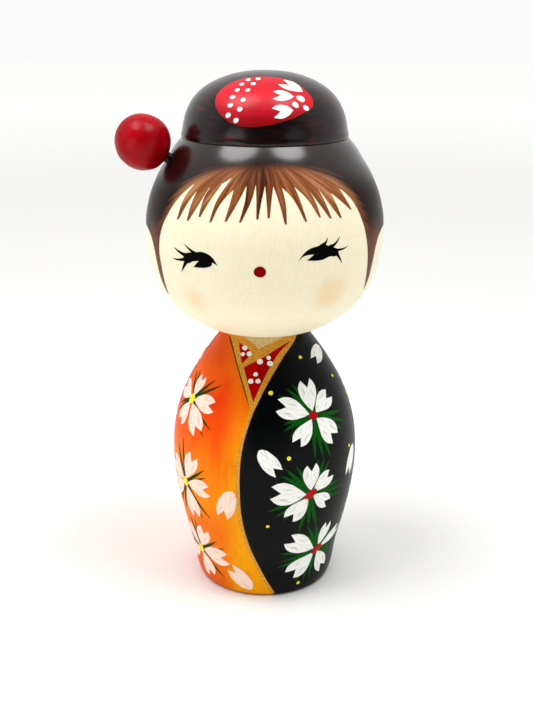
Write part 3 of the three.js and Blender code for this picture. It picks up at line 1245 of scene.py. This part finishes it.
def makeFlowers(body):
    modelPetal = flatShape("modelPetal", flowers["petal"])
    modelFallen = flatShape("modelFallen", flowers["fallenPetal"])
    leafStroke = strokeOutline((0, 0), (0.015, 0.5), (0, 1), 0.075, shape=(0.5, 0.9, 1, 0.7))
    modelLeaf = flatShape("modelLeaf", leafStroke)
    for side in ("black", "orange"):
        for number, flower in enumerate(flowers[side], 1):
            bloom(side, number, flower, body, modelPetal, modelLeaf)
        print("flowers on the", side, "side")
    above = flowers["coats"]["petals"]
    for side in ("black", "orange"):
        finish = finishes[flowers["styles"][side]["petals"]]
        for number, (angle, height, turn, length) in enumerate(flowers[side + "Fallen"], 1):
            petal = copied(modelFallen, "petal", turn=turn - 90, size=(length, length))
            recentre(petal)
            name = f"{side}_fallen_petal_{number}"
            paintOn(name, [petal], body, angle, height, finish, "flower_paint", "torso", above=above)
    for number, (angle, height, radius) in enumerate(flowers["pollen"], 1):
        dot = spot("dab", radius * flowers["dotShare"], radius * flowers["dotShare"])
        place = (body, angle, height)
        name = f"pollen_{number:02d}"
        paintOn(name, [dot], *place, finishes["yellow"], "flower_paint", "torso", above=above)
    for model in (modelPetal, modelFallen, modelLeaf):
        bpy.data.objects.remove(model)


def recentre(piece):
    alone(piece)
    bpy.ops.object.origin_set(type="ORIGIN_GEOMETRY", center="BOUNDS")
    piece.location = (0, 0, 0)
    fixPlace(piece)


def bloom(side, number, flower, body, modelPetal, modelLeaf):
    style = flowers["styles"][side]
    petals, leaves = [], []
    for direction, length, *slim in flower["petals"]:
        wide = length * brush.uniform(0.94, 1.08) * (slim[0] if slim else 1)
        turn = direction - 90 + brush.uniform(-2, 2)
        petals.append(copied(modelPetal, "petal", turn=turn, size=(wide, length)))
    for direction, length in flower["leaves"]:
        for lean in style["fan"]:
            reach = length * brush.uniform(0.82, 1.04)
            turn = direction - 90 + lean + brush.uniform(-2, 2)
            leaves.append(copied(modelLeaf, "leaf", turn=turn, size=(style["leafWidth"], reach)))
    across, tall, turn = flower["centre"]
    centre = spot("centre", across, tall, turn=turn)
    place = (body, flower["angle"], flower["height"])
    for part, shapes in (("leaves", leaves), ("petals", petals), ("centre", [centre])):
        name = f"{side}_flower_{number}_{part}"
        above = flowers["coats"][part]
        paintOn(name, shapes, *place, finishes[style[part]], "flower_paint", "torso", above=above)


cloth = {
    "angle": -0.7, "height": 105.1,
    "patch": [(-9.3, 1.8), (-7.9, 5.2), (-4.5, 7.3), (-0.3, 7.7), (4.2, 7.0), (7.7, 4.6), (9.3, 1.3),
              (7.0, -1.6), (4.1, -3.4), (-0.2, -4.6), (-4.3, -4.3), (-7.3, -2.4)],
    "dots": [(-3.1, 6.6), (-1.2, 6.7), (-4.3, 5.2), (-2.1, 5.0), (-5.1, 3.5), (-3.1, 3.1),
             (-5.9, 1.8), (-3.9, 0.7), (-6.3, 0.0), (-4.5, -1.2), (-6.7, -1.9), (-5.2, -3.2)],
    "buds": [(6.9, 1.7, 0.8), (5.9, 0.0, 0.62), (7.9, -0.1, 0.58)],
    # half flowers: their outline, then the root, direction and length of each
    "tulip": [(0, 0, 1), (0.24, 0.28), (0.33, 0.7), (0.22, 1.0, 1), (0.0, 0.62, 1), (-0.24, 1.02, 1),
              (-0.34, 0.66), (-0.22, 0.26)],
    "petals": [(7.3, 3.7, 153, 4.6), (5.6, 1.8, 182, 3.9), (5.5, -1.2, 195, 3.9)],
}


def makeCloth(topknot):
    place = (topknot, cloth["angle"], cloth["height"])
    patch = flatShape("patch", cloth["patch"])
    paintOn("cloth_patch", [patch], *place, finishes["cloth"], "ball_paint", "head", above=0.08)
    marks = [spot("dot", 0.48, 0.44, at=(x, y)) for x, y in cloth["dots"]]
    marks += [spot("bud", r, r * 0.85, turn=-35, at=(x, y)) for x, y, r in cloth["buds"]]
    tulip = flatShape("tulip", cloth["tulip"])
    for x, y, direction, length in cloth["petals"]:
        marks.append(copied(tulip, "petal", turn=direction - 90, size=(length, length), at=(x, y)))
    bpy.data.objects.remove(tulip)
    paintOn("cloth_marks", marks, *place, finishes["white"], "flower_paint", "head", above=0.14)


setStudio()
print("studio ready")
finishes = {
    "face": faceWood(),
    "bare": bareWood("dowelWood", tint(222, 196, 150), tint(196, 163, 112)),
    # the body's bare wood at the neck, its colour darkened partly as painted shade under the chin
    "neck": bareWood("neckWoodShaded", tint(226, 204, 146), tint(206, 178, 116)),
    "orange": orangePaint(),
    "black": blackPaint(),
    "lacquer": lacquer(),
    "hair": hairPaint(),
    "ball": redPaint("ballPaint", tint(172, 0, 14), roughness=0.4, gloss=0.05, lumps=0.00012),
    # the cloth patch's red darkens towards its lower edge as painted shade
    "cloth": redPaint("clothPaint", tint(214, 0, 32), roughness=0.4, gloss=0.15, paintedShade=(0.0995, 0.1055)),
    "collarRed": redPaint("collarPaint", tint(190, 0, 2), roughness=0.5, gloss=0.03, coat=0.0),
    "lips": redPaint("lipPaint", tint(140, 0, 0), roughness=0.5, gloss=0.03, coat=0.0),
    "centreRed": redPaint("centrePaint", tint(196, 0, 20), roughness=0.45, gloss=0.1, coat=0.0),
    "ink": brushPaint("eyeInk", tint(0, 0, 0), tint(3, 3, 3), roughness=0.5, gloss=0.03),
    "white": brushPaint(
        "petalWhite", tint(255, 255, 250), tint(168, 178, 168), gloss=0.1, streakiness=0.75
    ),
    "blossom": brushPaint(
        "petalBlossom", tint(255, 232, 216), tint(251, 164, 120), gloss=0.1, streakiness=0.85
    ),
    "leaf": brushPaint("leafGreen", tint(2, 84, 6), tint(0, 46, 2), gloss=0.06),
    "darkLeaf": brushPaint("leafDark", tint(16, 62, 10), tint(66, 74, 4), gloss=0.06),
    "yellow": brushPaint("pollenYellow", tint(250, 236, 40), tint(232, 190, 20)),
    "gold": goldPaint(),
    "darkEdge": brushPaint("edgeBrown", tint(84, 48, 12), tint(124, 74, 18)),
}
for name in ("neck_dowel", "topknot_peg"):
    node = frame["nodes"][name]
    node.data.materials.clear()
    node.data.materials.append(finishes["bare"])
body = makeBody()
print("body turned and coated")
head = makeHead()
print("head turned, hair painted")
topknot = makeTopknot()
makeHairpin()
print("topknot and hairpin turned")
makeFace(head)
makeCollar(body)
makeGoldLines(body)
makeCloth(topknot)
print("face, collar and cloth painted")
makeFlowers(body)
